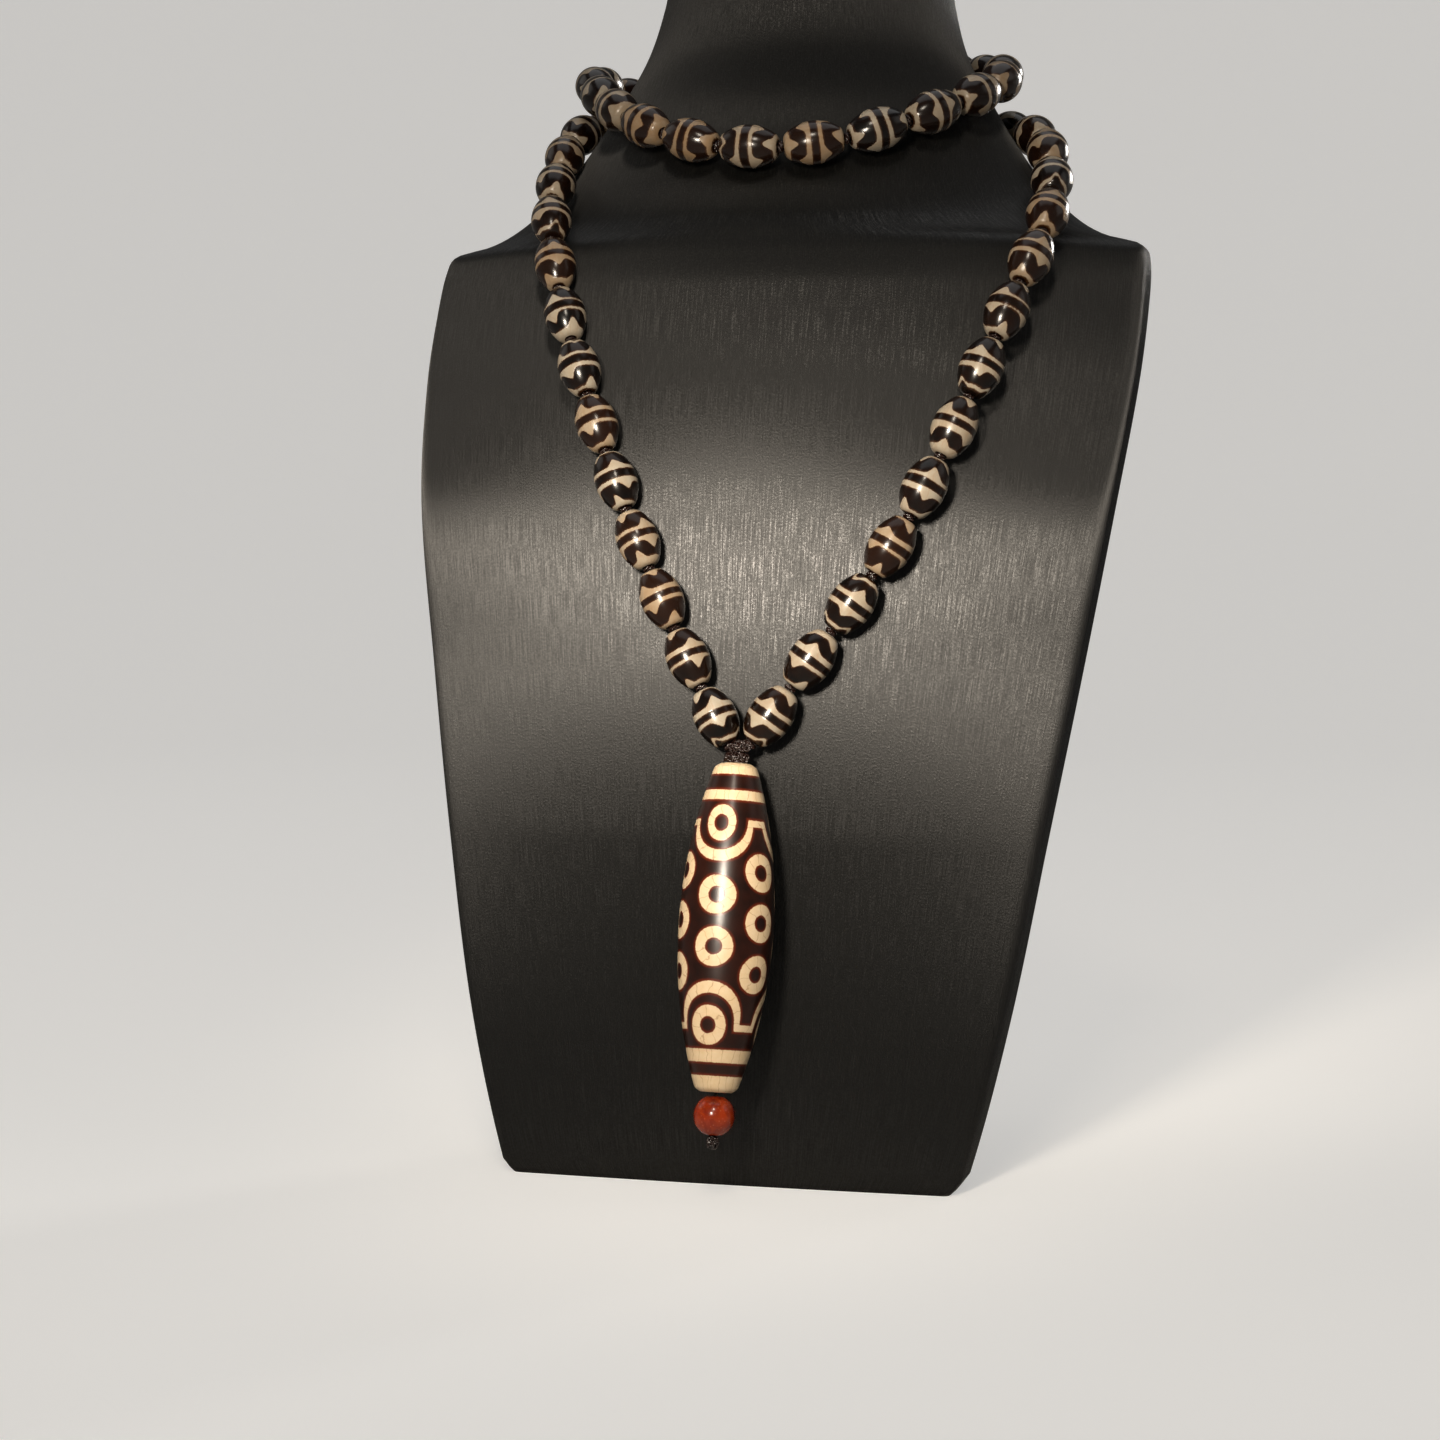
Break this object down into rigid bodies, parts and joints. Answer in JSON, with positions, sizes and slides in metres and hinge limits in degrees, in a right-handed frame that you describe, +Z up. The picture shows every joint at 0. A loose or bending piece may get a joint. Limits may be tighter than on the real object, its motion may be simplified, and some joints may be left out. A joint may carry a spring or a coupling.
{
  "type": "dzi bead necklace on a neck bust",
  "caption": "Long double-wrapped string of etched agate barrel beads with a large spindle-shaped eyed pendant and a round red bead, held on a plain black neck bust.",
  "frame": {"origin": "centre of the flat base of the neck bust", "axes": "+Z up, the front of the bust faces -Y, +X to the right seen from the front"},
  "size_m": [0.178, 0.1538, 0.3],
  "materials": {
    "bust_leatherette": "black brushed leatherette, satin",
    "etched_agate": "dark brown agate etched with cream lines, polished",
    "pendant_agate": "dark red-brown agate etched with cream eyes, polished",
    "red_agate": "red agate, polished",
    "brown_thread": "dark brown waxed thread"
  },
  "bodies": {
    "bust": {"neck_bust": "bust_leatherette", "bead_left_01": "etched_agate", "bead_left_02": "etched_agate", "bead_left_03": "etched_agate", "bead_left_04": "etched_agate", "bead_left_05": "etched_agate", "bead_left_06": "etched_agate", "bead_left_07": "etched_agate", "bead_left_08": "etched_agate", "bead_left_09": "etched_agate", "bead_left_10": "etched_agate", "bead_left_11": "etched_agate", "bead_left_12": "etched_agate", "bead_left_13": "etched_agate", "nape_inner": "etched_agate", "bead_collar_01": "etched_agate", "bead_collar_02": "etched_agate", "bead_collar_03": "etched_agate", "bead_collar_04": "etched_agate", "bead_collar_05": "etched_agate", "bead_collar_06": "etched_agate", "bead_collar_07": "etched_agate", "bead_collar_08": "etched_agate", "bead_collar_09": "etched_agate", "bead_collar_10": "etched_agate", "bead_collar_11": "etched_agate", "nape_outer": "etched_agate", "bead_right_01": "etched_agate", "bead_right_02": "etched_agate", "bead_right_03": "etched_agate", "bead_right_04": "etched_agate", "bead_right_05": "etched_agate", "bead_right_06": "etched_agate", "bead_right_07": "etched_agate", "bead_right_08": "etched_agate", "bead_right_09": "etched_agate", "bead_right_10": "etched_agate", "bead_right_11": "etched_agate", "bead_right_12": "etched_agate", "bead_right_13": "etched_agate", "bead_right_14": "etched_agate", "thread": "brown_thread", "strand_knot": "brown_thread"},
    "drop_knot": {"pendant_knot": "brown_thread"},
    "pendant": {"pendant_cord": "brown_thread", "dzi_pendant": "pendant_agate", "red_bead": "red_agate", "end_knot": "brown_thread"}
  },
  "joints": [
    {"name": "pendant_swing", "type": "hinge", "parent": "bust", "child": "drop_knot", "pos_m": [0.00326, -0.0575, 0.10015], "axis": [0, 1, 0], "range_deg": [-12, 12]},
    {"name": "pendant_lift", "type": "hinge", "parent": "drop_knot", "child": "pendant", "pos_m": [0.00326, -0.0575, 0.10015], "axis": [-1, 0, 0], "range_deg": [0, 35]}
  ]
}
